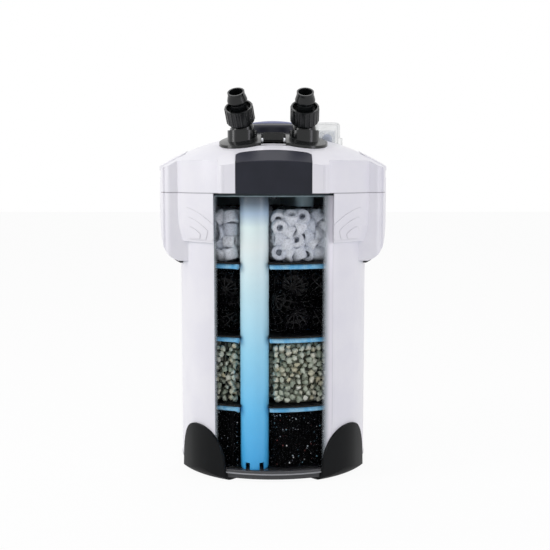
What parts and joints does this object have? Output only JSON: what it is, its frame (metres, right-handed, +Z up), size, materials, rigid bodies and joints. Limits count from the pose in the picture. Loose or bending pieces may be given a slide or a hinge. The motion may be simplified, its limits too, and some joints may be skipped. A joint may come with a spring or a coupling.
{
  "type": "canister filter",
  "caption": "Tall canister filter with a clear front over stacked media baskets, a lift-off pump head with side latches, and a plug-in valve block with two swivelling hose connectors.",
  "frame": {"origin": "centre of the overall box, on the floor plane under the feet", "axes": "+Z up, the clear front faces -Y, +X to the right as seen from the front"},
  "size_m": [0.277, 0.26, 0.453],
  "materials": {
    "white_shell": "satin",
    "window_clear": "gloss",
    "dark_plastic": "satin",
    "slate_plastic": "satin",
    "grey_rim": "satin",
    "black_plastic": "satin",
    "pipe_clear": "gloss",
    "carbon": "granular",
    "gravel": "granular",
    "bio_black": "granular",
    "ceramic": "granular",
    "pad_blue": "fibre",
    "rubber": "matte",
    "steel": "satin",
    "button_blue": "gloss",
    "cap_clear": "gloss",
    "quartz": "gloss",
    "lamp_glass": "gloss",
    "socket_white": "satin",
    "magnet": "satin",
    "ceramic_shaft": "gloss"
  },
  "bodies": {
    "canister": {"canister_shell": "white_shell", "front_window": "window_clear", "base_plinth": "dark_plastic", "base_rim": "grey_rim", "foot_front_left": "dark_plastic", "foot_front_right": "dark_plastic", "foot_rear_left": "dark_plastic", "foot_rear_right": "dark_plastic", "downpipe": "pipe_clear"},
    "carbon_stack": {"basket_carbon": "black_plastic", "carbon_media": "carbon", "pad_lower": "pad_blue"},
    "gravel_stack": {"basket_gravel": "black_plastic", "gravel_media": "gravel", "pad_middle": "pad_blue"},
    "bio_stack": {"basket_bio": "black_plastic", "bio_media": "bio_black", "pad_upper": "pad_blue"},
    "ceramic_stack": {"basket_ceramic": "black_plastic", "ceramic_media": "ceramic"},
    "head": {"head_shell": "white_shell", "head_deck": "dark_plastic", "head_seal": "rubber", "deck_screws": "steel", "front_panel": "slate_plastic", "rear_panel": "slate_plastic", "cap_left": "slate_plastic", "cap_right": "slate_plastic", "pin_left": "steel", "pin_right": "steel", "motor_cover": "slate_plastic", "motor_stator": "dark_plastic", "rotor_shaft": "ceramic_shaft", "impeller_cover": "dark_plastic", "primer_spring": "steel", "primer_cylinder": "dark_plastic", "lamp_cap": "cap_clear", "lamp_sleeve": "quartz", "uv_lamp": "lamp_glass", "lamp_socket": "socket_white", "inlet_duct": "dark_plastic", "outlet_duct": "dark_plastic", "cable_gland": "black_plastic"},
    "left_latch": {"latch_left": "slate_plastic"},
    "right_latch": {"latch_right": "slate_plastic"},
    "rotor": {"rotor_magnet": "magnet", "impeller": "black_plastic"},
    "primer": {"primer_button": "button_blue", "primer_plunger": "socket_white"},
    "valves": {"valve_block": "black_plastic", "spigot_seals": "rubber"},
    "lever": {"valve_lever": "black_plastic", "valve_shaft": "steel"},
    "inlet": {"inlet_connector": "black_plastic"},
    "outlet": {"outlet_connector": "black_plastic"},
    "inlet_union": {"inlet_nut": "black_plastic"},
    "outlet_union": {"outlet_nut": "black_plastic"}
  },
  "joints": [
    {"name": "head_lift", "type": "slide", "parent": "canister", "child": "head", "axis": [0, 0, 1], "range_m": [0, 0.42]},
    {"name": "carbon_lift", "type": "slide", "parent": "canister", "child": "carbon_stack", "axis": [0, 0, 1], "range_m": [0, 0.084]},
    {"name": "gravel_lift", "type": "slide", "parent": "canister", "child": "gravel_stack", "axis": [0, 0, 1], "range_m": [0, 0.168]},
    {"name": "bio_lift", "type": "slide", "parent": "canister", "child": "bio_stack", "axis": [0, 0, 1], "range_m": [0, 0.252]},
    {"name": "ceramic_lift", "type": "slide", "parent": "canister", "child": "ceramic_stack", "axis": [0, 0, 1], "range_m": [0, 0.336]},
    {"name": "left_latch_open", "type": "hinge", "parent": "head", "child": "left_latch", "pos_m": [-0.126, 0, 0.3485], "axis": [0, 1, 0], "range_deg": [0, 70]},
    {"name": "right_latch_open", "type": "hinge", "parent": "head", "child": "right_latch", "pos_m": [0.126, 0, 0.3485], "axis": [0, -1, 0], "range_deg": [0, 70]},
    {"name": "impeller_spin", "type": "hinge", "parent": "head", "child": "rotor", "pos_m": [0, 0.028, 0.3455], "axis": [0, 0, 1], "continuous": true},
    {"name": "primer_press", "type": "slide", "parent": "head", "child": "primer", "axis": [0, 0, -1], "range_m": [0, 0.006], "stiffness_N_per_m": 400, "springref_m": -0.003, "deforming": ["primer_spring"]},
    {"name": "valve_block_lift", "type": "slide", "parent": "head", "child": "valves", "axis": [0, 0, 1], "range_m": [0, 0.08]},
    {"name": "valve_lever_lift", "type": "hinge", "parent": "valves", "child": "lever", "pos_m": [0, -0.062, 0.393], "axis": [-1, 0, 0], "range_deg": [0, 90]},
    {"name": "inlet_swivel", "type": "hinge", "parent": "valves", "child": "inlet", "pos_m": [-0.036, -0.062, 0.4069], "axis": [0, 0, 1], "continuous": true},
    {"name": "outlet_swivel", "type": "hinge", "parent": "valves", "child": "outlet", "pos_m": [0.036, -0.062, 0.4069], "axis": [0, 0, 1], "continuous": true},
    {"name": "inlet_nut_turn", "type": "hinge", "parent": "inlet", "child": "inlet_union", "pos_m": [-0.03871, -0.07285, 0.42348], "axis": [-0.1353, -0.5426, 0.829], "range_deg": [0, 720]},
    {"name": "outlet_nut_turn", "type": "hinge", "parent": "outlet", "child": "outlet_union", "pos_m": [0.036, -0.07318, 0.42348], "axis": [0, -0.5592, 0.829], "range_deg": [0, 720]}
  ],
  "couplings": [
    {"joint": "carbon_lift", "follows": "head_lift", "ratio": 0.2},
    {"joint": "gravel_lift", "follows": "head_lift", "ratio": 0.4},
    {"joint": "bio_lift", "follows": "head_lift", "ratio": 0.6},
    {"joint": "ceramic_lift", "follows": "head_lift", "ratio": 0.8}
  ]
}
